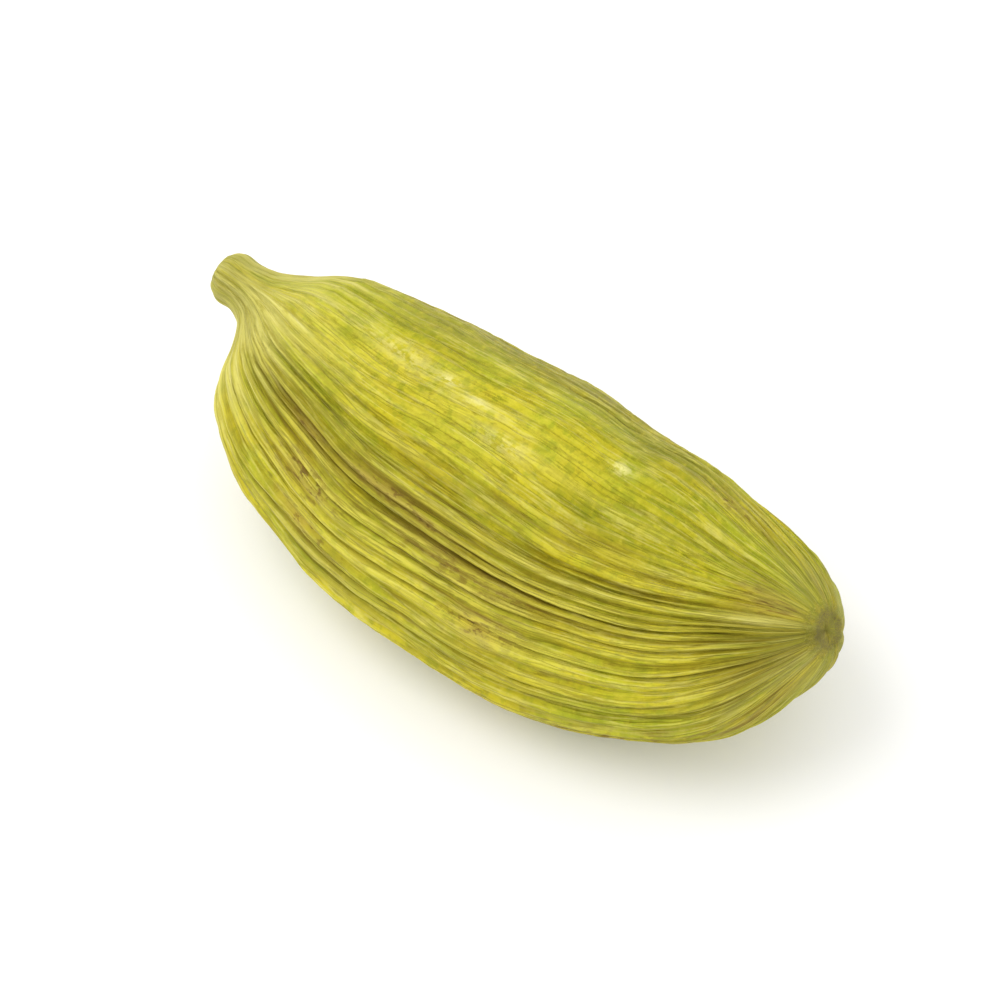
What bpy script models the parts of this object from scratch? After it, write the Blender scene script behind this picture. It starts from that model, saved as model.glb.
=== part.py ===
# Green cardamom pod, about 20 mm long, lying on the flattest of its three faces.
# Metres. +X runs from the stalk end to the flower end, +Z is up, and the origin
# is on the ground under the middle of the pod.
import bmesh
import bpy
import numpy as np

MM = 0.001

# Outline of the pod from the stalk end to the flower end: station along the pod
# and mean radius there, both in mm. The first four make the cut end of the
# stalk, the next two its neck, and the last four the withered scar at the tip.
OUTLINE = (
    (0.14, 0.00),
    (0.10, 0.26),
    (0.16, 0.48),
    (0.42, 0.68),
    (0.95, 0.70),
    (1.55, 0.92),
    (2.05, 1.46),
    (2.65, 2.26),
    (3.90, 3.00),
    (6.20, 3.62),
    (9.60, 3.97),
    (12.60, 3.92),
    (15.40, 3.40),
    (17.40, 2.54),
    (18.30, 1.84),
    (18.85, 1.22),
    (19.18, 0.70),
    (19.30, 0.32),
    (19.24, 0.00),
)

# Centre line of the pod: station, sideways place and height, in mm. Both ends
# are set back and raised, the tip more than the stalk.
CENTRE_LINE = (
    (0.0, 0.90, 5.10),
    (1.6, 0.80, 5.00),
    (3.2, 0.50, 4.55),
    (6.0, 0.18, 3.92),
    (10.0, 0.10, 3.70),
    (14.0, 0.25, 3.80),
    (17.5, 0.70, 4.65),
    (20.0, 1.00, 6.30),
)

# Cross-section of the pod: three rounded ridges with flattened faces between
# them, and a narrow furrow down the middle of each face. Depths are shares of
# the radius, and angles are measured from +Y toward +Z. The stalk is plain
# round, up to the mean radius where the shaping sets in.
RIDGES = 3
OVAL = 0.045
THREE_SIDED = 0.070
RIDGE_ANGLE = np.radians(84)
FURROW = 0.035
FURROW_SHARPNESS = 3.0
ROUND_BELOW = 0.9
SHAPED_ABOVE = 2.5

# Long creases where the husk has dried in between the seeds: angle, half width,
# depth in mm, and the stations between which each runs.
CREASES = (
    (117, 4.0, 0.08, 4.5, 18.5),
    (131, 3.5, 0.08, 3.0, 15.0),
    (145, 4.5, 0.17, 3.0, 14.0),
    (176, 4.0, 0.07, 3.5, 9.5),
    (187, 4.5, 0.10, 6.5, 18.0),
    (219, 4.0, 0.08, 5.0, 15.0),
    (318, 4.0, 0.08, 4.0, 12.0),
    (336, 5.0, 0.10, 7.0, 18.0),
    (352, 4.0, 0.06, 3.5, 12.0),
    (8, 4.0, 0.08, 6.0, 17.0),
    (24, 4.5, 0.14, 4.0, 14.0),
    (41, 4.0, 0.08, 3.5, 11.0),
)
CREASE_FADE = 2.0

# Ribs that run from the neck to the tip, one column of vertices on each crest
# and one in each valley. They are lowest along the back and on the flat spot,
# and no two are alike: waves round the pod, so many of each, crowd them, make
# them stray sideways and change their height. RIB_SNAKING is how they wander
# along the pod: radians to the mm, and waves round the pod.
RIBS = 56
RIB_HEIGHT = 0.14
FACE_RIB_HEIGHT = 0.05
RIB_UNEVENNESS = 0.45
RIB_CROWDING = 0.08
RIB_STRAY = 0.024
RIB_WANDER = 0.030
RIB_SNAKING = (0.42, 4)
STRAY_WAVES = (17, 23, 31)
HEIGHT_WAVES = (13, 19, 29)
BACK_ANGLE = np.radians(80)
BACK_HALF_ANGLE = np.radians(32)
BACK_SMOOTHNESS = 0.45

# Shallow swellings of the husk over the seeds inside, where two slanting waves
# meet. Each wave: radians to the mm along the pod, waves round it, and start.
SWELLING = 0.07
SWELLING_WAVES = (
    (0.95, 2, 0.0),
    (0.50, -3, 1.1),
)

# Flat spot that the pod lies on, with hardly any ribs left on it.
REST_ANGLE = np.radians(268)
REST_HALF_ANGLE = np.radians(34)
REST_DEPTH = 0.20
REST_SMOOTHNESS = 0.97

RINGS = 48
RING_CROWDING = 0.45

HUSK_COLOUR = (0.45, 0.40, 0.055, 1.0)
HUSK_ROUGHNESS = 0.62


def through(stations, values, at):
    """Smooth curve through the values at the stations, read at the places asked for."""
    stations = np.asarray(stations, float)
    values = np.asarray(values, float)
    step = np.diff(stations)
    slope = np.diff(values) / step
    tangent = np.empty_like(values)
    tangent[1:-1] = (step[1:] * slope[:-1] + step[:-1] * slope[1:]) / (step[1:] + step[:-1])
    tangent[0] = 1.5 * slope[0] - 0.5 * tangent[1]
    tangent[-1] = 1.5 * slope[-1] - 0.5 * tangent[-2]
    left = np.clip(np.searchsorted(stations, at, side="right") - 1, 0, len(step) - 1)
    share = (at - stations[left]) / step[left]
    rise = step[left] * (
        share * (1 - share) ** 2 * tangent[left] - share**2 * (1 - share) * tangent[left + 1]
    )
    blend = share**2 * (3 - 2 * share)
    return (1 - blend) * values[left] + blend * values[left + 1] + rise


def ease(value, low, high):
    share = np.clip((value - low) / (high - low), 0, 1)
    return share**2 * (3 - 2 * share)


def waves(turn, counts):
    """Unevenness from -1 to 1 round the pod: the mean of waves with these counts."""
    return sum(np.sin(count * turn + count) for count in counts) / len(counts)


def outline_at(share):
    """Station and radius at a share of the way round the outline, with rings crowded at both ends."""
    outline = np.array(OUTLINE)
    run = np.concatenate(([0], np.cumsum(np.hypot(*np.diff(outline, axis=0).T))))
    place = RING_CROWDING * np.linspace(0, 1, len(run)) + (1 - RING_CROWDING) * run / run[-1]
    along = np.interp(share, place, run)
    station = through(run, outline[:, 0], along)
    radius = np.maximum(through(run, outline[:, 1], along), 0)
    return station, radius


def centre_at(station):
    """Point on the centre line and the two directions across it."""
    stations, side, height = np.array(CENTRE_LINE).T
    point = np.stack((station, through(stations, side, station), through(stations, height, station)), 1)
    nudge = 0.01
    run_y = through(stations, side, station + nudge) - through(stations, side, station - nudge)
    run_z = through(stations, height, station + nudge) - through(stations, height, station - nudge)
    ahead = np.stack((np.full_like(station, 2 * nudge), run_y, run_z), 1)
    ahead /= np.linalg.norm(ahead, axis=1)[:, None]
    across = np.array((0.0, 1.0, 0.0)) - ahead[:, 1:2] * ahead
    across /= np.linalg.norm(across, axis=1)[:, None]
    return point, across, np.cross(ahead, across)


def husk_surface(share, turn):
    """Points of the husk for shares of the way along and round it, in mm."""
    station, radius = outline_at(share)
    point, across, over = centre_at(station)
    shaped = ease(radius, ROUND_BELOW, SHAPED_ABOVE)
    angle = turn + RIB_CROWDING * np.sin(RIDGES * (turn - RIDGE_ANGLE)) + RIB_STRAY * waves(turn, STRAY_WAVES)
    snaking_along, snaking_around = RIB_SNAKING
    angle = angle + RIB_WANDER * np.sin(snaking_along * station + snaking_around * turn) * shaped

    ridge_wave = np.cos(RIDGES * (angle - RIDGE_ANGLE))
    ridges = THREE_SIDED * ridge_wave + OVAL * np.cos(2 * angle)
    furrows = FURROW * np.exp(-FURROW_SHARPNESS * (1 + ridge_wave))
    flat = np.exp(-(((angle - REST_ANGLE) / REST_HALF_ANGLE) ** 2))
    radius = radius * (1 + shaped * (ridges - furrows * (1 - flat)))

    swelling = SWELLING * shaped * (1 - flat)
    for along, around, start in SWELLING_WAVES:
        swelling = swelling * np.sin(along * station + around * angle + start)
    radius = radius + swelling
    for crease, half_width, depth, start, end in CREASES:
        off = (angle - np.radians(crease) + np.pi) % (2 * np.pi) - np.pi
        run = ease(station, start, start + CREASE_FADE) * ease(end - station, 0, CREASE_FADE)
        radius = radius - depth * run * np.exp(-((off / np.radians(half_width)) ** 2))

    on_face = 0.5 - 0.5 * ridge_wave
    back = np.exp(-(((angle - BACK_ANGLE) / BACK_HALF_ANGLE) ** 2))
    strength = (1 + RIB_UNEVENNESS * waves(turn, HEIGHT_WAVES)) * (1 - BACK_SMOOTHNESS * back)
    strength = strength * (1 - REST_SMOOTHNESS * flat**2)
    height = (RIB_HEIGHT + FACE_RIB_HEIGHT * on_face) * strength * shaped
    radius = radius + 0.5 * height * np.cos(RIBS * turn)

    spoke = np.cos(angle)[:, None] * across + np.sin(angle)[:, None] * over
    return point + radius[:, None] * spoke


def make_pod(collection):
    """The whole pod: husk, stalk stub and flower scar grew as one piece."""
    shape = bmesh.new()
    bmesh.ops.create_uvsphere(shape, u_segments=2 * RIBS, v_segments=RINGS, radius=1.0)
    ball = np.array([vertex.co for vertex in shape.verts])
    ring = np.rint(np.arccos(np.clip(-ball[:, 2], -1, 1)) / np.pi * RINGS)
    column = np.rint(np.arctan2(ball[:, 1], ball[:, 0]) / np.pi * RIBS) % (2 * RIBS)
    husk = husk_surface(ring / RINGS, column / RIBS * np.pi)

    husk[:, 2] -= husk[:, 2].min() + REST_DEPTH
    husk[:, 2] = np.maximum(husk[:, 2], 0)
    husk[:, :2] -= (husk[:, :2].min(axis=0) + husk[:, :2].max(axis=0)) / 2
    for vertex, place in zip(shape.verts, husk * MM):
        vertex.co = place

    mesh = bpy.data.meshes.new("pod")
    shape.to_mesh(mesh)
    shape.free()
    pod = bpy.data.objects.new("pod", mesh)
    collection.objects.link(pod)
    return pod


def give_dry_husk_material(pod):
    """Dry green husk: matt, slightly waxy, yellow-green."""
    husk = bpy.data.materials.new("dry_green_husk")
    husk.use_nodes = True
    surface = husk.node_tree.nodes["Principled BSDF"]
    surface.inputs["Base Color"].default_value = HUSK_COLOUR
    surface.inputs["Roughness"].default_value = HUSK_ROUGHNESS
    surface.inputs["Metallic"].default_value = 0.0
    pod.data.materials.append(husk)


for leftover in list(bpy.data.objects):
    bpy.data.objects.remove(leftover, do_unlink=True)

cardamom = bpy.data.collections.new("green_cardamom_pod")
bpy.context.scene.collection.children.link(cardamom)
give_dry_husk_material(make_pod(cardamom))
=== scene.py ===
import math

import bmesh
import bpy
import numpy as np
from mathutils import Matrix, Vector


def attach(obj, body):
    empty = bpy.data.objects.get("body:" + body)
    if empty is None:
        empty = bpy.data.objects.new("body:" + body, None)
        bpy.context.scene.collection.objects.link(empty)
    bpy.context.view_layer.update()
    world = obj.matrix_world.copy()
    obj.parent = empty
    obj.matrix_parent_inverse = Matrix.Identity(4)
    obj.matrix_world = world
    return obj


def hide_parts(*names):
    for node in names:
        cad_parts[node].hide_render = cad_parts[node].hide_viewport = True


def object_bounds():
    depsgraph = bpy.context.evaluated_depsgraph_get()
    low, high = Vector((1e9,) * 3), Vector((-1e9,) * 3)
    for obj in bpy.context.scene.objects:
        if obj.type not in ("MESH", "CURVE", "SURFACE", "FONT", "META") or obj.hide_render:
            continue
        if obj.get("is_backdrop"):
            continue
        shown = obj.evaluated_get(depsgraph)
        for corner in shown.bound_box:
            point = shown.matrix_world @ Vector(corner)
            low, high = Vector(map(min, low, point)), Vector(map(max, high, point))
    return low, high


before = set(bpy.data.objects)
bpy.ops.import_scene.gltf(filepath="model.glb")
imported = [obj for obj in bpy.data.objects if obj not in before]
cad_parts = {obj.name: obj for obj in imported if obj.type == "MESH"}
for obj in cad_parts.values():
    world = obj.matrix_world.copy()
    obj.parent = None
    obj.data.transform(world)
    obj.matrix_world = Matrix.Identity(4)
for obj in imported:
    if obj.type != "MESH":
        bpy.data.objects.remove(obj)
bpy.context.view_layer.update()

# The husk: the dried capsule of the cardamom plant, closed all round, with a
# stub of its stalk at one end and the scar of its flower at the other. It grew
# as one piece, so it is one skin, drawn here as rings from end to end.
MM = 0.001
RIBS = 56
COLUMNS_PER_RIB = 8
COLUMNS = RIBS * COLUMNS_PER_RIB
RINGS = 220
RING_CROWDING = 0.45
NUDGE = 0.01

# Station along the pod and mean radius there, in mm.
OUTLINE = (
    (0.14, 0.00),
    (0.10, 0.26),
    (0.16, 0.48),
    (0.42, 0.68),
    (0.95, 0.70),
    (1.55, 0.92),
    (2.05, 1.46),
    (2.65, 2.26),
    (3.90, 3.00),
    (6.20, 3.62),
    (9.60, 3.97),
    (12.60, 3.92),
    (15.40, 3.40),
    (17.40, 2.54),
    (18.30, 1.84),
    (18.85, 1.22),
    (19.18, 0.70),
    (19.30, 0.32),
    (19.24, 0.00),
)

# Station, and the sideways place and height of the pod's middle there, in mm.
CENTRE_LINE = (
    (0.0, 0.90, 5.10),
    (1.6, 0.80, 5.00),
    (3.2, 0.50, 4.55),
    (6.0, 0.18, 3.92),
    (10.0, 0.10, 3.70),
    (14.0, 0.25, 3.80),
    (17.5, 0.70, 4.65),
    (20.0, 1.00, 6.30),
)


def through(stations, values, at):
    """Smooth curve through the values at the stations, read at the places asked for."""
    stations = np.asarray(stations, float)
    values = np.asarray(values, float)
    step = np.diff(stations)
    slope = np.diff(values) / step
    tangent = np.empty_like(values)
    tangent[1:-1] = (step[1:] * slope[:-1] + step[:-1] * slope[1:]) / (step[1:] + step[:-1])
    tangent[0] = 1.5 * slope[0] - 0.5 * tangent[1]
    tangent[-1] = 1.5 * slope[-1] - 0.5 * tangent[-2]
    left = np.clip(np.searchsorted(stations, at, side="right") - 1, 0, len(step) - 1)
    share = (at - stations[left]) / step[left]
    rise = step[left] * (
        share * (1 - share) ** 2 * tangent[left] - share**2 * (1 - share) * tangent[left + 1]
    )
    blend = share**2 * (3 - 2 * share)
    return (1 - blend) * values[left] + blend * values[left + 1] + rise


def outline_at(share):
    """Station and radius at a share of the way round the outline, with rings crowded at both ends."""
    outline = np.array(OUTLINE)
    run = np.concatenate(([0], np.cumsum(np.hypot(*np.diff(outline, axis=0).T))))
    place = RING_CROWDING * np.linspace(0, 1, len(run)) + (1 - RING_CROWDING) * run / run[-1]
    along = np.interp(share, place, run)
    return through(run, outline[:, 0], along), np.maximum(through(run, outline[:, 1], along), 0)


def centre_at(station):
    """Point of the centre line at each station."""
    stations, side, height = np.array(CENTRE_LINE).T
    return np.stack((station, through(stations, side, station), through(stations, height, station)), 1)


skin = bmesh.new()
bmesh.ops.create_uvsphere(skin, u_segments=COLUMNS, v_segments=RINGS, radius=1.0)
ball = np.array([vertex.co for vertex in skin.verts])
ring = np.rint(np.arccos(np.clip(-ball[:, 2], -1, 1)) / np.pi * RINGS)
column = np.rint(np.arctan2(ball[:, 1], ball[:, 0]) / (2 * np.pi) * COLUMNS) % COLUMNS
turn = column / COLUMNS * 2 * np.pi
station, plain_radius = outline_at(ring / RINGS)

centre = centre_at(station)
lead = centre_at(station + NUDGE) - centre_at(station - NUDGE)
lead /= np.linalg.norm(lead, axis=1)[:, None]
sideways = np.array((0.0, 1.0, 0.0)) - lead[:, 1:2] * lead
sideways /= np.linalg.norm(sideways, axis=1)[:, None]
upward = np.cross(lead, sideways)

# The three blunt ridges of the capsule, the flattened faces between them with a
# furrow down each, and the low swellings where the seeds press on it. The depths
# of the first two are shares of the radius, and angles go from +Y toward +Z.
LENGTH = 20.0
RIDGES = 3
RIDGE_ANGLE = np.radians(84)
THREE_SIDED = 0.070
OVAL = 0.045
ROUND_BELOW = 0.9
SHAPED_ABOVE = 2.5
FURROW = 0.035
FURROW_SHARPNESS = 3.0
REST_ANGLE = np.radians(268)
REST_HALF_ANGLE = np.radians(34)
RIB_CROWDING = 0.08
RIB_STRAY = 0.024
STRAY_WAVES = (17, 23, 31)
RIB_WANDER = 0.030
LOCAL_WANDER = 0.012
LUMP = 0.030
DENT = 0.014
SWELLING = 0.07

# Slanting waves: radians to the mm along the pod, waves round it, and start.
RIB_SNAKING = (0.42, 4, 0.0)
SWELLING_WAVES = (
    (0.95, 2, 0.0),
    (0.50, -3, 1.1),
)


def ease(value, low, high):
    """0 below low, 1 above high, and a smooth step between them."""
    share = np.clip((value - low) / (high - low), 0, 1)
    return share**2 * (3 - 2 * share)


def hump(distance, half_width):
    """1 in the middle, about a third at the half width, and next to nothing at twice that."""
    return np.exp(-((distance / half_width) ** 2))


def slanting(around_pod, per_mm, waves_round, start):
    """A wave from -1 to 1 that runs both along the pod and round it."""
    return np.sin(per_mm * station + waves_round * around_pod + start)


def waves(around_pod, counts):
    """Unevenness from -1 to 1 round the pod: the mean of waves with these counts."""
    return sum(np.sin(count * around_pod + count) for count in counts) / len(counts)


def uneven(around, along, seed, shift=0.0):
    """Natural unevenness from -1 to 1: soft patches, so many round the pod and so many along it."""
    knots = np.random.default_rng(seed).uniform(-1, 1, (along + 2, around))
    place_round = (turn + shift) / (2 * np.pi) * around
    place_along = np.clip(station / LENGTH, 0, 1) * along
    left = np.floor(place_round).astype(int)
    row = np.floor(place_along).astype(int)
    across = ease(place_round - left, 0, 1)
    ahead = ease(place_along - row, 0, 1)
    right = (left + 1) % around
    left = left % around
    near = (1 - across) * knots[row, left] + across * knots[row, right]
    far = (1 - across) * knots[row + 1, left] + across * knots[row + 1, right]
    return (1 - ahead) * near + ahead * far


shaped = ease(plain_radius, ROUND_BELOW, SHAPED_ABOVE)
angle = turn + RIB_CROWDING * np.sin(RIDGES * (turn - RIDGE_ANGLE)) + RIB_STRAY * waves(turn, STRAY_WAVES)
angle = angle + RIB_WANDER * slanting(turn, *RIB_SNAKING) * shaped
angle = angle + LOCAL_WANDER * uneven(around=28, along=9, seed=11) * shaped

ridge_wave = np.cos(RIDGES * (angle - RIDGE_ANGLE))
on_face = 0.5 - 0.5 * ridge_wave
flat = hump(angle - REST_ANGLE, REST_HALF_ANGLE)
ridges = THREE_SIDED * ridge_wave + OVAL * np.cos(2 * angle)
furrows = FURROW * np.exp(-FURROW_SHARPNESS * (1 + ridge_wave))
radius = plain_radius * (1 + shaped * (ridges - furrows * (1 - flat)))

swelling = SWELLING
for wave in SWELLING_WAVES:
    swelling = swelling * slanting(angle, *wave)
swelling = swelling + LUMP * uneven(around=12, along=8, seed=5)
swelling = swelling + DENT * uneven(around=26, along=18, seed=6)
radius = radius + shaped * (1 - flat) * swelling

# The creases where the husk dried in between the seeds. Each row: angle and half
# width in degrees, depth in mm, and the stations between which it runs.
CREASES = (
    (117, 4.0, 0.08, 4.5, 18.5),
    (131, 3.5, 0.08, 3.0, 15.0),
    (145, 4.5, 0.17, 3.0, 14.0),
    (176, 4.0, 0.07, 3.5, 9.5),
    (187, 4.5, 0.10, 6.5, 18.0),
    (219, 4.0, 0.08, 5.0, 15.0),
    (318, 4.0, 0.08, 4.0, 12.0),
    (336, 5.0, 0.10, 7.0, 18.0),
    (352, 4.0, 0.06, 3.5, 12.0),
    (8, 4.0, 0.08, 6.0, 17.0),
    (24, 4.5, 0.14, 4.0, 14.0),
    (41, 4.0, 0.08, 3.5, 11.0),
)
CREASE_FADE = 2.0


def fade(value, low, high):
    """1 below low, 0 above high, and a smooth step between them."""
    return 1 - ease(value, low, high)


def off_angle(degrees):
    """How far round the pod each point is from this angle, in degrees either way."""
    return (np.degrees(angle) - degrees + 180) % 360 - 180


creased = np.zeros_like(radius)
for at_degrees, half_width, depth, first, last in CREASES:
    crease_run = ease(station, first, first + CREASE_FADE) * fade(station, last - CREASE_FADE, last)
    creased = creased + depth * crease_run * hump(off_angle(at_degrees), half_width)
radius = radius - creased

# The ribs: fine veins under the skin that stand proud as it dries. They run
# from the neck to the tip, round on top with a narrow groove between them, no
# two the same height. Some are split down the middle, and all are wrinkled.
RIB_HEIGHT = 0.14
FACE_RIB_HEIGHT = 0.05
RIB_UNEVENNESS = 0.45
HEIGHT_WAVES = (13, 19, 29)
LONG_CHANGE = 0.35
SHORT_CHANGE = 0.22
BACK_ANGLE = np.radians(80)
BACK_HALF_ANGLE = np.radians(32)
BACK_SMOOTHNESS = 0.45
REST_SMOOTHNESS = 0.97
END_SMOOTHNESS = 0.5
GROOVE_NARROWNESS = 1.5
SPLIT_DEPTH = 0.5
SPLIT_NARROWNESS = 5
FIBRE_RELIEF = 0.022
WRINKLE = 0.010

# A pair of radii or stations, here and below, is where a form starts to change
# and where it has changed, in mm out from the pod's middle or along it.
END_RADII = (1.0, 3.4)

# Each row of soft patches: share, station, angle, half length in mm, half width
# in degrees.
LOW_RIB_PATCHES = (
    (0.55, 9.2, 166, 5.5, 8),
    (0.50, 12.0, 118, 4.0, 8),
    (0.50, 14.0, 80, 3.5, 9),
    (0.45, 13.5, 57, 3.5, 7),
    (0.45, 5.2, 74, 2.2, 13),
    (0.35, 7.5, 62, 2.0, 6),
)


def patches(rows):
    """Soft oval patches, added up: how much each point of the skin has of them."""
    return sum(
        share * hump(station - at_station, half_length) * hump(off_angle(at_degrees), half_width)
        for share, at_station, at_degrees, half_length, half_width in rows
    )


back_ridge = hump(angle - BACK_ANGLE, BACK_HALF_ANGLE)
low_ribs = patches(LOW_RIB_PATCHES)
change = LONG_CHANGE * uneven(around=RIBS, along=3, seed=21)
change = change + SHORT_CHANGE * uneven(around=RIBS, along=13, seed=22)
strength = (1 + RIB_UNEVENNESS * waves(turn, HEIGHT_WAVES)) * (1 + change)
strength = strength * (1 - BACK_SMOOTHNESS * back_ridge) * (1 - low_ribs)

valley = 0.5 - 0.5 * np.cos(RIBS * turn)
split = np.clip(uneven(around=RIBS, along=5, seed=33), 0, 1) * (1 - valley) ** SPLIT_NARROWNESS
crest = 1 - valley**GROOVE_NARROWNESS - SPLIT_DEPTH * split
ribbed = shaped * (1 - REST_SMOOTHNESS * flat**2) * (1 - END_SMOOTHNESS * fade(plain_radius, *END_RADII))
radius = radius + (RIB_HEIGHT + FACE_RIB_HEIGHT * on_face) * strength * ribbed * (crest - 0.5)
radius = radius + FIBRE_RELIEF * ribbed * uneven(around=2 * RIBS, along=26, seed=41)
radius = radius + WRINKLE * ribbed * uneven(around=RIBS, along=95, seed=42)

# The stalk stub: a short round end of the stalk, ringed by coarse straw-pale
# fibres that run down its neck and fan out over the shoulders of the husk. The
# cut across it has dried hollow inside a hard rim.
FIBRES = 14
FIBRE_HEIGHT = 0.0455
FIBRE_HEIGHT_CHANGE = 0.0325
FIBRE_STRAY = 0.9
FIBRE_RADII = (0.45, 0.66)
NECK_FIBRES = 42
NECK_FIBRE_HEIGHT = 0.030
NECK_FIBRE_HEIGHT_CHANGE = 0.018
NECK_FIBRE_STRAY = 1.5
NECK_FIBRE_MIDDLE = 0.4
FOLD_MIDDLE = 0.6
STUB_END = (1.7, 3.6)
NECK_START = (1.2, 1.9)
NECK_END = (2.6, 4.6)
STUB_WRINKLE = 0.020
STUB_WRINKLE_RADII = (0.1, 0.55)
CUT_END = (0.45, 0.70)
CUT_RADII = (0.40, 0.54)
CUT_DEPTH = 0.08
CUT_DEPTH_CHANGE = 0.04


def folds(count, stray):
    """Round-topped folds from end to end, so many round the pod: 1 on top, and 0 in between."""
    return np.abs(np.cos(count * turn / 2 + stray))


stub = fade(station, *STUB_END)
fibre = folds(FIBRES, stray=FIBRE_STRAY * uneven(around=9, along=10, seed=51))
fibre_height = FIBRE_HEIGHT + FIBRE_HEIGHT_CHANGE * uneven(around=FIBRES, along=6, seed=52)
radius = radius + fibre_height * (fibre - FOLD_MIDDLE) * stub * ease(plain_radius, *FIBRE_RADII)

neck = ease(station, *NECK_START) * fade(station, *NECK_END)
neck_stray = NECK_FIBRE_STRAY * uneven(around=14, along=12, seed=54)
neck_fibre = (0.5 + 0.5 * np.cos(NECK_FIBRES * turn + neck_stray)) ** 2
neck_height = NECK_FIBRE_HEIGHT + NECK_FIBRE_HEIGHT_CHANGE * uneven(around=NECK_FIBRES, along=8, seed=55)
radius = radius + neck_height * (neck_fibre - NECK_FIBRE_MIDDLE) * neck

stub_wrinkle = STUB_WRINKLE * uneven(around=30, along=60, seed=53)
radius = radius + stub_wrinkle * stub * ease(plain_radius, *STUB_WRINKLE_RADII)
at_cut = fade(station, *CUT_END)
cut_face = at_cut * fade(plain_radius, *CUT_RADII)
station_shift = cut_face * (CUT_DEPTH + CUT_DEPTH_CHANGE * uneven(around=11, along=150, seed=56))

# The flower scar: the skin is drawn in to a blunt grey-green tip in uneven
# pleats, one of them along the near side, round the corky spot with a ragged
# rim where the flower dropped off.
TIP_START = (15.0, 17.0)
PLEAT_ANGLE = 128
PLEAT_GROOVE_ANGLE = 137
PLEAT_HALF_WIDTH = 6
PLEAT_HEIGHT = 0.09
PLEAT_GROOVE_DEPTH = 0.072
PLEAT_START = (15.2, 17.8)
PLEAT_END = (18.9, 19.4)
TIP_PLEATS = 13
TIP_PLEAT_STRAY = 1.1
TIP_PLEAT_HEIGHT = 0.09
TIP_PLEAT_HEIGHT_CHANGE = 0.045
TIP_PLEAT_INNER_RADII = (0.25, 0.9)
TIP_PLEAT_OUTER_RADII = (1.5, 3.0)
SCAR_RADII = (0.36, 0.54)
SCAR_DEPTH = 0.054
SCAR_GRAIN = 0.02
SCAR_RIM_RADIUS = 0.44
SCAR_RIM_HALF_WIDTH = 0.13
SCAR_RIM_HEIGHT = 0.024
SCAR_RIM_HEIGHT_CHANGE = 0.054

at_tip = ease(station, *TIP_START)
pleat_run = ease(station, *PLEAT_START) * fade(station, *PLEAT_END)
pleat = PLEAT_HEIGHT * hump(off_angle(PLEAT_ANGLE), PLEAT_HALF_WIDTH)
pleat = pleat - PLEAT_GROOVE_DEPTH * hump(off_angle(PLEAT_GROOVE_ANGLE), PLEAT_HALF_WIDTH)
radius = radius + pleat_run * pleat

drawn_in = at_tip * fade(plain_radius, *TIP_PLEAT_OUTER_RADII) * ease(plain_radius, *TIP_PLEAT_INNER_RADII)
tip_pleat = folds(TIP_PLEATS, stray=TIP_PLEAT_STRAY * uneven(around=7, along=16, seed=62))
pleat_height = TIP_PLEAT_HEIGHT + TIP_PLEAT_HEIGHT_CHANGE * uneven(around=TIP_PLEATS, along=16, seed=63)
radius = radius + pleat_height * (tip_pleat - FOLD_MIDDLE) * drawn_in

rim = at_tip * hump(plain_radius - SCAR_RIM_RADIUS, SCAR_RIM_HALF_WIDTH)
rim_height = SCAR_RIM_HEIGHT + SCAR_RIM_HEIGHT_CHANGE * uneven(around=17, along=4, seed=61)
scar = at_tip * fade(plain_radius, *SCAR_RADII)
scar_depth = SCAR_DEPTH - SCAR_GRAIN * uneven(around=20, along=120, seed=64)
station_shift = station_shift + rim_height * rim - scar_depth * scar

# The husk lies on the ground by its flat spot, and its middle is over the
# origin, as the solid's is.
REST_DEPTH = 0.20
spoke = np.cos(angle)[:, None] * sideways + np.sin(angle)[:, None] * upward
husk_points = centre + radius[:, None] * spoke + station_shift[:, None] * lead
husk_points[:, 2] -= husk_points[:, 2].min() + REST_DEPTH
husk_points[:, 2] = np.maximum(husk_points[:, 2], 0)
husk_points[:, :2] -= (husk_points[:, :2].min(axis=0) + husk_points[:, :2].max(axis=0)) / 2
husk_points *= MM

husk_mesh = bpy.data.meshes.new("pod_husk")
skin.to_mesh(husk_mesh)
skin.free()
husk_mesh.vertices.foreach_set("co", husk_points.astype(np.float32).ravel())
husk_mesh.shade_smooth()
husk_mesh.update()
husk = bpy.data.objects.new("pod_husk", husk_mesh)
bpy.context.scene.collection.objects.link(husk)

# Where the colours lie on the skin. Each is a share from 0 to 1 at every point:
# the grooves and the pale veins follow the ribs, straw follows the fibres of the
# stalk, and the rest are soft patches of greyer, greener, browner or golder skin.
# Some carry painted light and shade over the skin's own colour: the grooves, the
# creases and the hollows between the tip's pleats are darkened with painted shade,
# the crests carry painted highlights, the gold patches brighten the ridges with
# painted light, the olive and grey patches darken the furrow, the far edge and the
# tip with painted shade, and the pale specks on the top ridge are painted highlights.
GROOVE_SHARE = 0.55
GROOVE_LONG_CHANGE = 0.55
GROOVE_SHORT_CHANGE = 0.30
GROOVE_THINNESS = 3
GROOVE_LOSS_ON_BACK = 0.60
GROOVE_LOSS_ON_RIDGES = 0.40
GROOVE_LOSS_ON_LOW_RIBS = 0.7
GROOVE_GAIN_IN_CREASES = 3
CREASE_SHADE = 0.9
FOLD_SHADE = 0.7
VEIN_SHARE = 0.30
VEIN_CHANGE = 0.70
VEIN_THINNESS = 2
VEIN_LOSS_ON_BACK = 0.4
FIBROUS_SHARE = 0.60
FIBROUS_LOSS_ON_BACK = 0.30
STRAW_BETWEEN_FIBRES = 0.55
TIP_GREY_AND_SHADE = 0.35
TIP_GREY_AND_SHADE_RADII = (1.0, 2.1)
SCAR_CORK = 0.6
RIM_CORK = 0.5
PITH_RADIUS = 0.16
PITH_LOSS = 0.6
DARKER_GROOVE_SHADE = (
    (1.0, 9.5, 147, 5.5, 9),
    (0.7, 8.5, 182, 4.0, 7),
)
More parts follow.
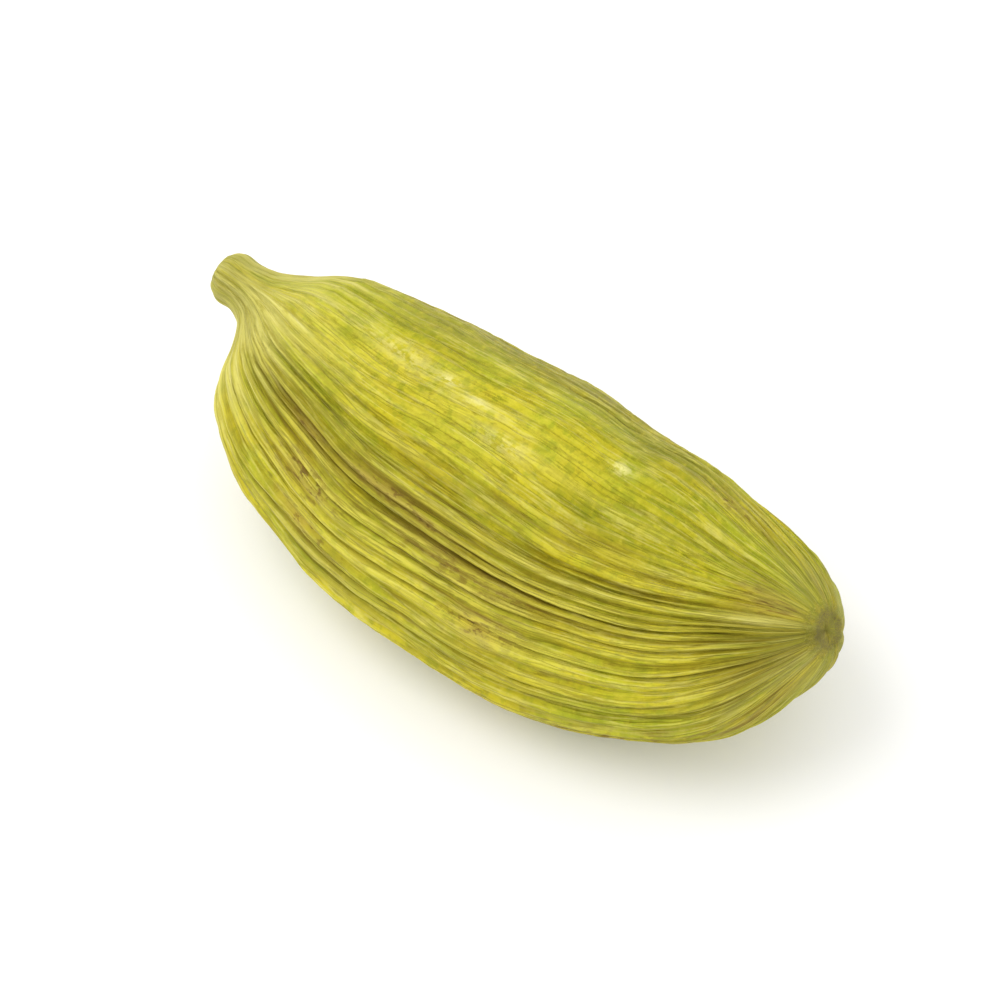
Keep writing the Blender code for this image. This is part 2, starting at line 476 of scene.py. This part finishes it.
PALER_VEINS_AND_HIGHLIGHT = ((1.1, 10.2, 146, 5.8, 13),)
MORE_FIBROUS = (
    (0.15, 9.0, 148, 5.5, 18),
    (0.30, 17.8, 120, 1.2, 90),
    (-0.35, 10.5, 167, 4.5, 6),
)
# Darker patches along the furrow, the far edge and the lower lobe, and at the tip below, added to the
# groove darkening.
DARKER_PATCHES = (
    (0.40, 7.2, 139, 2.8, 5),
    (0.15, 11.8, 136, 2.4, 4),
    (0.42, 14.1, 112, 1.5, 7),
    (0.30, 9.6, 121, 2.6, 4),
    (0.40, 14.1, 64, 1.6, 9),
    (0.30, 10.1, 55, 1.4, 7),
    (0.30, 6.4, 69, 1.6, 11),
    (0.35, 7.4, 184, 2.2, 6),
    (0.25, 12.0, 178, 1.4, 5),
)
DARKER_TIP_PATCHES = (
    (0.50, 18.8, 149, 0.7, 15),
    (0.45, 18.5, 174, 0.9, 16),
    (0.20, 18.2, 98, 0.8, 10),
)
COLOUR_PATCHES = {
    # Olive patches: the skin's olive, deepened with painted shade in the furrow, along the far edge and at
    # the tip.
    "olive_and_shade": (
        (1.0, 6.0, 138, 4.0, 9),
        (0.5, 11.5, 134, 4.5, 8),
        (1.0, 7.1, 181, 2.4, 7),
        (0.7, 11.8, 175, 1.4, 4),
        (0.6, 9.2, 121, 2.8, 4),
        (0.9, 14.2, 58, 2.4, 14),
        (0.5, 5.8, 68, 2.2, 12),
        (0.8, 18.3, 152, 1.2, 24),
        (0.9, 8.5, 24, 5.5, 14),
        (0.6, 11.0, 340, 6.0, 12),
    ),
    "green": (
        (0.8, 8.0, 184, 3.5, 5),
        (0.5, 15.0, 186, 3.0, 8),
        (0.3, 15.5, 135, 2.5, 9),
        (1.0, 13.9, 106, 1.8, 6),
        (0.7, 15.7, 91, 2.6, 17),
        (1.0, 13.4, 58, 4.4, 15),
        (0.5, 6.0, 70, 1.8, 9),
        (0.6, 4.5, 130, 2.0, 6),
        (1.0, 18.6, 153, 0.9, 20),
        (0.8, 13.0, 300, 3.0, 14),
        (0.7, 5.5, 350, 2.5, 12),
    ),
    # Gold patches: the skin's own gold, brightened with painted light, mostly on the ridges.
    "gold_and_light": (
        (1.0, 6.5, 98, 4.5, 12),
        (0.9, 4.3, 111, 1.6, 7),
        (0.5, 10.6, 90, 2.6, 12),
        (0.6, 10.2, 111, 1.6, 4),
        (0.7, 16.0, 138, 1.7, 13),
        (0.5, 12.4, 145, 3.0, 4),
        (1.0, 9.8, 166, 4.6, 6),
        (0.5, 7.0, 197, 2.5, 6),
        (0.7, 9.0, 318, 6.0, 12),
    ),
    "brown": (
        (0.8, 11.9, 164, 0.9, 4.5),
        (0.8, 5.2, 142, 0.7, 3.0),
        (0.9, 6.1, 158, 1.1, 6.0),
        (0.9, 8.0, 138, 1.0, 3.2),
        (0.8, 9.4, 141, 0.9, 2.2),
        (0.5, 11.0, 150, 2.2, 5.0),
        (0.7, 6.6, 174, 1.1, 4.0),
        (0.7, 14.4, 207, 3.8, 9.0),
        (0.6, 18.6, 114, 0.6, 14.0),
        (0.6, 16.6, 62, 1.2, 6.0),
        (0.8, 15.0, 20, 1.3, 4.0),
        (0.8, 6.0, 300, 1.2, 5.0),
    ),
    "furrowed": (
        (1.0, 9.0, 145, 6.0, 16),
        (0.6, 9.5, 170, 5.0, 12),
        (0.5, 15.5, 128, 2.5, 14),
    ),
    # Pale specks and a faint pale band on the top ridge: painted highlights.
    "ridge_highlight": (
        (0.9, 8.0, 88, 0.30, 1.8),
        (0.8, 9.1, 90, 0.34, 1.5),
        (0.8, 13.6, 83, 0.40, 2.2),
        (0.4, 6.3, 89, 1.7, 4.0),
        (0.4, 10.3, 99, 0.8, 3.5),
    ),
}
STRAW_PATCHES = (
    (0.5, 2.4, 128, 1.2, 14),
    (0.35, 4.0, 111, 1.3, 6),
    (0.7, 18.5, 130, 0.8, 4),
)
BARE_NECK = ((0.75, 2.1, 90, 1.1, 24),)
# Grey patches on the far edge and the tip: partly the skin's grey-green and partly painted shade.
GREYER_AND_SHADED_PATCHES = (
    (1.0, 6.5, 46, 4.5, 15),
    (0.6, 13.0, 44, 4.5, 12),
    (0.5, 18.5, 190, 1.5, 30),
)


def paint(name, values):
    """Keep a share for every point of the skin under this name, for the material to read."""
    layer = husk_mesh.attributes.new(name, "FLOAT", "POINT")
    layer.data.foreach_set("value", np.clip(values, 0, 1).astype(np.float32))


# The groove share: darkness along the grooves between the ribs, in the creases and in the hollows between
# the tip's pleats. It is partly the skin's olive and partly painted shade, and the darker patches are
# added to it.
half_rib = np.pi / RIBS
groove_olive_and_shade = GROOVE_SHARE + GROOVE_LONG_CHANGE * uneven(around=RIBS, along=4, seed=71, shift=half_rib)
groove_olive_and_shade = groove_olive_and_shade + GROOVE_SHORT_CHANGE * uneven(around=RIBS, along=14, seed=72, shift=half_rib)
groove_olive_and_shade = groove_olive_and_shade * (1 - GROOVE_LOSS_ON_BACK * back_ridge) * (1 - GROOVE_LOSS_ON_RIDGES * (1 - on_face))
groove_olive_and_shade = groove_olive_and_shade * (1 - GROOVE_LOSS_ON_LOW_RIBS * low_ribs)
groove_olive_and_shade = groove_olive_and_shade * (1 + patches(DARKER_GROOVE_SHADE)) * (1 + GROOVE_GAIN_IN_CREASES * creased)
groove_olive_and_shade = groove_olive_and_shade * valley**GROOVE_THINNESS + CREASE_SHADE * creased
dark_patches_and_fold_shade = patches(DARKER_PATCHES) + FOLD_SHADE * drawn_in * (1 - tip_pleat) ** 2
paint("groove_olive_and_shade", (groove_olive_and_shade + dark_patches_and_fold_shade) * shaped + patches(DARKER_TIP_PATCHES))

# The vein share: pale lines along the rib crests, partly the skin's pale veins and partly painted
# highlight.
vein_and_highlight = VEIN_SHARE + VEIN_CHANGE * uneven(around=RIBS, along=5, seed=73)
vein_and_highlight = vein_and_highlight * (1 - VEIN_LOSS_ON_BACK * back_ridge) + patches(PALER_VEINS_AND_HIGHLIGHT)
paint("vein_and_highlight", vein_and_highlight * (1 - valley) ** VEIN_THINNESS * shaped)
paint("fibrous", FIBROUS_SHARE - FIBROUS_LOSS_ON_BACK * back_ridge + patches(MORE_FIBROUS))
for name, rows in COLOUR_PATCHES.items():
    paint(name, patches(rows))

straw = stub * (STRAW_BETWEEN_FIBRES + (1 - STRAW_BETWEEN_FIBRES) * fibre) + neck * neck_fibre
paint("straw", straw * (1 - patches(BARE_NECK)) + patches(STRAW_PATCHES))
# Grey over the far edge and the blunt tip: partly the skin's grey-green and partly painted shade.
paint("grey_and_shade", patches(GREYER_AND_SHADED_PATCHES) + TIP_GREY_AND_SHADE * at_tip * fade(plain_radius, *TIP_GREY_AND_SHADE_RADII))
paint("cork", SCAR_CORK * scar + RIM_CORK * rim)
paint("cut", cut_face * (1 - PITH_LOSS * hump(plain_radius, PITH_RADIUS)))

# The grain of the skin is laid round the pod and along it, and drawn in a little
# toward the middle of the scar and of the cut.
WRAP_RADIUS = 3.9
SCAR_PUCKER = 0.6
SCAR_PUCKER_RADII = (0.1, 0.8)
CUT_PUCKER = 0.8
CUT_PUCKER_RADII = (0.0, 0.6)
wrap = husk_mesh.attributes.new("wrap", "FLOAT_VECTOR", "POINT")
wrap_round = 1 - SCAR_PUCKER * at_tip * fade(plain_radius, *SCAR_PUCKER_RADII)
wrap_round = wrap_round - CUT_PUCKER * at_cut * fade(plain_radius, *CUT_PUCKER_RADII)
wrap_points = np.stack((wrap_round * np.cos(turn), wrap_round * np.sin(turn), station / WRAP_RADIUS), 1)
wrap.data.foreach_set("vector", wrap_points.astype(np.float32).ravel())


# The dry green skin: papery and matt, yellow-green on the crests with painted
# highlights along them, olive in the grooves deepened with painted shade, browned
# in places, with fibres too fine to stand proud.
def tint(red, green, blue):
    """A colour as the eye reads it, 0 to 255, turned into the light that it reflects."""
    parts = np.array((red, green, blue)) / 255
    light = np.where(parts <= 0.04045, parts / 12.92, ((parts + 0.055) / 1.055) ** 2.4)
    return (*light.tolist(), 1.0)


class Finish:
    """A material made of nodes, with one call for each kind of step that these materials take."""

    def __init__(self, name):
        self.material = bpy.data.materials.new(name)
        self.material.use_nodes = True
        self.tree = self.material.node_tree
        self.surface = self.tree.nodes["Principled BSDF"]

    def feed(self, socket, value):
        """Lead another node's output into a socket, or set a plain value on it."""
        if isinstance(value, bpy.types.NodeSocket):
            self.tree.links.new(value, socket)
        else:
            socket.default_value = value

    def painted(self, name, output="Fac"):
        """What was painted on the mesh under this name."""
        node = self.tree.nodes.new("ShaderNodeAttribute")
        node.attribute_name = name
        return node.outputs[output]

    def grain(self, across, ahead, detail=4.0, roughness=0.55, lift=0.0):
        """Noise from 0 to 1, with so many patches to the unit across the fibres and along them."""
        stretch = self.tree.nodes.new("ShaderNodeVectorMath")
        stretch.operation = "MULTIPLY_ADD"
        self.feed(stretch.inputs[0], self.painted("wrap", "Vector"))
        stretch.inputs[1].default_value = (across, across, ahead)
        stretch.inputs[2].default_value = (lift, lift, lift)
        noise = self.tree.nodes.new("ShaderNodeTexNoise")
        noise.inputs["Scale"].default_value = 1.0
        noise.inputs["Detail"].default_value = detail
        noise.inputs["Roughness"].default_value = roughness
        self.feed(noise.inputs["Vector"], stretch.outputs[0])
        return noise.outputs["Fac"]

    def level(self, value, low, high, to_low=0.0, to_high=1.0):
        """The value on a new scale: to_low at low, to_high at high, and a smooth step between them."""
        node = self.tree.nodes.new("ShaderNodeMapRange")
        node.interpolation_type = "SMOOTHSTEP"
        self.feed(node.inputs["Value"], value)
        node.inputs["From Min"].default_value = low
        node.inputs["From Max"].default_value = high
        node.inputs["To Min"].default_value = to_low
        node.inputs["To Max"].default_value = to_high
        return node.outputs["Result"]

    def combined(self, operation, first, second):
        """Two values made into one."""
        node = self.tree.nodes.new("ShaderNodeMath")
        node.operation = operation
        self.feed(node.inputs[0], first)
        self.feed(node.inputs[1], second)
        return node.outputs[0]

    def times(self, first, second):
        """One value times the other."""
        return self.combined("MULTIPLY", first, second)

    def plus(self, first, second):
        """One value plus the other."""
        return self.combined("ADD", first, second)

    def hairlines(self, noise, middle, width):
        """Thin lines from 0 to 1 along the places where the noise passes its middle."""
        return self.times(
            self.level(noise, middle - width, middle),
            self.level(noise, middle + width, middle),
        )

    def patchy(self, name, noise, low, high, to_low, to_high):
        """A painted share, broken up by the noise."""
        return self.times(self.painted(name), self.level(noise, low, high, to_low, to_high))

    def coat(self, colour, share, over):
        """The colour so far, with this share of another one laid over it."""
        node = self.tree.nodes.new("ShaderNodeMix")
        node.data_type = "RGBA"
        self.feed(node.inputs["Factor"], share)
        self.feed(node.inputs["A"], colour)
        self.feed(node.inputs["B"], over)
        return node.outputs["Result"]


LEAF_YELLOW = tint(206, 193, 30)
LEAF_GREEN = tint(174, 184, 40)
GOLD_AND_PAINTED_LIGHT = tint(216, 204, 60)
PALE_CREST_AND_HIGHLIGHT = tint(220, 209, 82)
MOSS = tint(140, 152, 30)
FERN = tint(124, 136, 20)
OLIVE_SKIN_AND_SHADE = tint(146, 131, 20)
GREY_GREEN_AND_SHADE = tint(160, 151, 100)
DARK_OLIVE_AND_SHADE = tint(116, 100, 12)
TAN = tint(176, 146, 74)
BROWN = tint(104, 70, 32)
STRAW = tint(222, 213, 110)
CORK = tint(142, 130, 74)
CUT_STALK = tint(186, 164, 104)
PALE_FIBRE_AND_HIGHLIGHT = tint(240, 232, 150)

dry_husk = Finish("dry_green_husk")
broad_cloud = dry_husk.grain(2.4, 1.6, detail=4.0, lift=7.3)
mottle = dry_husk.grain(7.0, 4.0, detail=5.0, roughness=0.65, lift=3.1)
fleck = dry_husk.grain(28.0, 12.0, detail=4.0, roughness=0.6, lift=2.2)
grit = dry_husk.grain(16.0, 14.0, detail=3.0, roughness=0.6, lift=6.4)
long_streak = dry_husk.grain(20.0, 1.0, detail=3.0, roughness=0.6, lift=5.9)
broad_streak = dry_husk.grain(9.0, 0.8, detail=3.0, roughness=0.5, lift=4.9)
fine_fibre = dry_husk.grain(50.0, 2.2, detail=5.0, roughness=0.6)
neck_grain = dry_husk.grain(10.0, 5.0, detail=6.0, roughness=0.7, lift=1.3)
thin_streak = dry_husk.grain(17.0, 0.8, detail=3.0, lift=8.7)
pale_thread = dry_husk.hairlines(thin_streak, middle=0.53, width=0.05)
dark_thread = dry_husk.hairlines(long_streak, middle=0.47, width=0.05)

# Coats of colour, each laid over those before it. The numbers are two values of
# the noise that breaks a coat up, and the coat's share at each of them.
DARK_THREAD_SHARE = 0.65
skin_colour = LEAF_YELLOW
for share, over in (
    (dry_husk.level(broad_cloud, 0.42, 0.58, 0.0, 0.70), LEAF_GREEN),
    (dry_husk.patchy("gold_and_light", mottle, 0.35, 0.65, 0.90, 0.45), GOLD_AND_PAINTED_LIGHT),
    (dry_husk.level(mottle, 0.50, 0.66, 0.0, 0.40), MOSS),
    (dry_husk.level(fleck, 0.52, 0.72, 0.0, 0.60), OLIVE_SKIN_AND_SHADE),
    (dry_husk.level(fleck, 0.46, 0.28, 0.0, 0.50), GOLD_AND_PAINTED_LIGHT),
    (dry_husk.patchy("olive_and_shade", long_streak, 0.60, 0.42, 0.25, 0.90), OLIVE_SKIN_AND_SHADE),
    (dry_husk.patchy("green", long_streak, 0.62, 0.42, 0.40, 0.85), FERN),
    (dry_husk.patchy("grey_and_shade", mottle, 0.35, 0.65, 0.45, 0.95), GREY_GREEN_AND_SHADE),
    (dry_husk.level(grit, 0.50, 0.66, 0.0, 0.45), MOSS),
    (dry_husk.level(grit, 0.48, 0.34, 0.0, 0.35), GOLD_AND_PAINTED_LIGHT),
    (dry_husk.patchy("fibrous", long_streak, 0.52, 0.66, 0.0, 0.70), OLIVE_SKIN_AND_SHADE),
    (dry_husk.patchy("fibrous", fine_fibre, 0.52, 0.70, 0.0, 0.95), OLIVE_SKIN_AND_SHADE),
    (dry_husk.patchy("fibrous", fine_fibre, 0.46, 0.28, 0.0, 0.75), STRAW),
    (dry_husk.patchy("furrowed", broad_streak, 0.52, 0.62, 0.0, 0.75), DARK_OLIVE_AND_SHADE),
    (dry_husk.patchy("furrowed", broad_streak, 0.48, 0.38, 0.0, 0.80), PALE_CREST_AND_HIGHLIGHT),
    (dry_husk.patchy("vein_and_highlight", long_streak, 0.60, 0.40, 0.30, 0.90), PALE_CREST_AND_HIGHLIGHT),
    (dry_husk.times(pale_thread, dry_husk.level(fleck, 0.35, 0.60, 0.15, 0.55)), STRAW),
    (dry_husk.times(dry_husk.painted("fibrous"), dry_husk.times(dark_thread, DARK_THREAD_SHARE)), DARK_OLIVE_AND_SHADE),
    (dry_husk.patchy("groove_olive_and_shade", fine_fibre, 0.62, 0.40, 0.35, 1.0), DARK_OLIVE_AND_SHADE),
    (dry_husk.patchy("brown", mottle, 0.35, 0.60, 0.20, 0.60), TAN),
    (dry_husk.patchy("brown", fleck, 0.50, 0.60, 0.0, 0.85), BROWN),
    (dry_husk.patchy("straw", neck_grain, 0.32, 0.58, 0.35, 0.95), STRAW),
    (dry_husk.patchy("straw", neck_grain, 0.48, 0.36, 0.0, 0.30), OLIVE_SKIN_AND_SHADE),
    (dry_husk.patchy("straw", fine_fibre, 0.52, 0.64, 0.0, 0.60), PALE_FIBRE_AND_HIGHLIGHT),
    (dry_husk.patchy("cork", fleck, 0.35, 0.62, 0.25, 1.0), CORK),
    (dry_husk.patchy("cut", fleck, 0.35, 0.60, 0.55, 1.0), CUT_STALK),
    (dry_husk.patchy("ridge_highlight", fleck, 0.40, 0.54, 0.05, 1.0), PALE_FIBRE_AND_HIGHLIGHT),
):
    skin_colour = dry_husk.coat(skin_colour, share, over)
dry_husk.feed(dry_husk.surface.inputs["Base Color"], skin_colour)

# The surface of the skin: faintly waxy, with fibres and pores too fine for the
# mesh raised on it, the dark threads a little sunk, and the neck coarse.
SKIN_ROUGHNESS = (0.50, 0.68)
SKIN_SHINE = 0.15
PORE_SHARE = 0.5
THREAD_SHARE = -0.35
RELIEF_STRENGTH = 0.8
RELIEF_HEIGHT = 0.09
skin_roughness = dry_husk.level(mottle, 0.25, 0.75, *SKIN_ROUGHNESS)
dry_husk.feed(dry_husk.surface.inputs["Roughness"], skin_roughness)
dry_husk.surface.inputs["Specular IOR Level"].default_value = SKIN_SHINE

fine_relief = dry_husk.grain(50.0, 4.0, detail=6.0, roughness=0.6, lift=4.4)
pores = dry_husk.grain(30.0, 30.0, detail=5.0, lift=9.2)
relief = dry_husk.plus(fine_relief, dry_husk.times(pores, PORE_SHARE))
relief = dry_husk.plus(relief, dry_husk.times(dark_thread, THREAD_SHARE))
relief = dry_husk.plus(relief, dry_husk.times(dry_husk.painted("straw"), neck_grain))
skin_bump = dry_husk.tree.nodes.new("ShaderNodeBump")
skin_bump.inputs["Strength"].default_value = RELIEF_STRENGTH
skin_bump.inputs["Distance"].default_value = RELIEF_HEIGHT * MM
dry_husk.feed(skin_bump.inputs["Height"], relief)
dry_husk.feed(dry_husk.surface.inputs["Normal"], skin_bump.outputs["Normal"])
husk_mesh.materials.append(dry_husk.material)
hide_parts("pod")
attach(husk, "root")

# The floor: one plain sheet of matt white card that the pod lies on, wide enough
# for any view. From here on, lengths are in metres.
FLOOR_HALF = 3.0
FLOOR_DROP = 0.01 * MM
FLOOR_WHITE = (0.96, 0.96, 0.96, 1.0)
FLOOR_ROUGHNESS = 0.9
FLOOR_SHINE = 0.1
floor_cage = bmesh.new()
bmesh.ops.create_grid(floor_cage, x_segments=1, y_segments=1, size=FLOOR_HALF)
floor_mesh = bpy.data.meshes.new("white_floor")
floor_cage.to_mesh(floor_mesh)
floor_cage.free()
floor = bpy.data.objects.new("white_floor", floor_mesh)
floor.location.z = -FLOOR_DROP
bpy.context.scene.collection.objects.link(floor)
white_card = Finish("white_card")
white_card.surface.inputs["Base Color"].default_value = FLOOR_WHITE
white_card.surface.inputs["Roughness"].default_value = FLOOR_ROUGHNESS
white_card.surface.inputs["Specular IOR Level"].default_value = FLOOR_SHINE
floor_mesh.materials.append(white_card.material)
floor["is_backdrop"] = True

# The light: a bright even room and one large soft lamp high over the near left
# of the pod, as in the photograph.
ROOM_WHITE = (1.0, 1.0, 1.0, 1.0)
ROOM_STRENGTH = 1.08
LAMP_SIDE = (-0.35, -0.30, 0.9)
LAMP_DISTANCE = 0.30
LAMP_WIDTH = 0.20
LAMP_WATTS = 0.26
room = bpy.data.worlds.new("bright_room")
room.use_nodes = True
room_light = room.node_tree.nodes["Background"]
room_light.inputs["Color"].default_value = ROOM_WHITE
room_light.inputs["Strength"].default_value = ROOM_STRENGTH
bpy.context.scene.world = room

soft_lamp = bpy.data.lights.new("over_lamp", "AREA")
soft_lamp.shape = "DISK"
soft_lamp.size = LAMP_WIDTH
soft_lamp.energy = LAMP_WATTS
over_lamp = bpy.data.objects.new("over_lamp", soft_lamp)
toward_lamp = Vector(LAMP_SIDE).normalized()
over_lamp.location = toward_lamp * LAMP_DISTANCE
over_lamp.rotation_euler = toward_lamp.to_track_quat("Z", "Y").to_euler()
bpy.context.scene.collection.objects.link(over_lamp)

# The camera: a long lens, 56 degrees above the floor and 37 degrees round from
# the pod's side, so that the stub is at the upper left and the tip at the lower
# right, as in the photograph.
AZIMUTH = math.radians(37)
ELEVATION = math.radians(56)
LENS_MM = 150.0
SENSOR_MM = 36.0
FRAME_WIDTH = 0.0255
NEAREST_SHOWN = 0.005
lens_camera = bpy.data.cameras.new("camera")
lens_camera.lens = LENS_MM
lens_camera.sensor_width = SENSOR_MM
lens_camera.clip_start = NEAREST_SHOWN
distance = FRAME_WIDTH * LENS_MM / SENSOR_MM
back = Vector(
    (
        math.sin(AZIMUTH) * math.cos(ELEVATION),
        -math.cos(AZIMUTH) * math.cos(ELEVATION),
        math.sin(ELEVATION),
    )
)
camera = bpy.data.objects.new("camera", lens_camera)
low_corner, high_corner = (Vector(corner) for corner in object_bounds())
camera.location = (low_corner + high_corner) / 2 + back * distance
camera.rotation_euler = back.to_track_quat("Z", "Y").to_euler()
bpy.context.scene.collection.objects.link(camera)
bpy.context.scene.camera = camera
bpy.context.scene.view_settings.view_transform = "Standard"
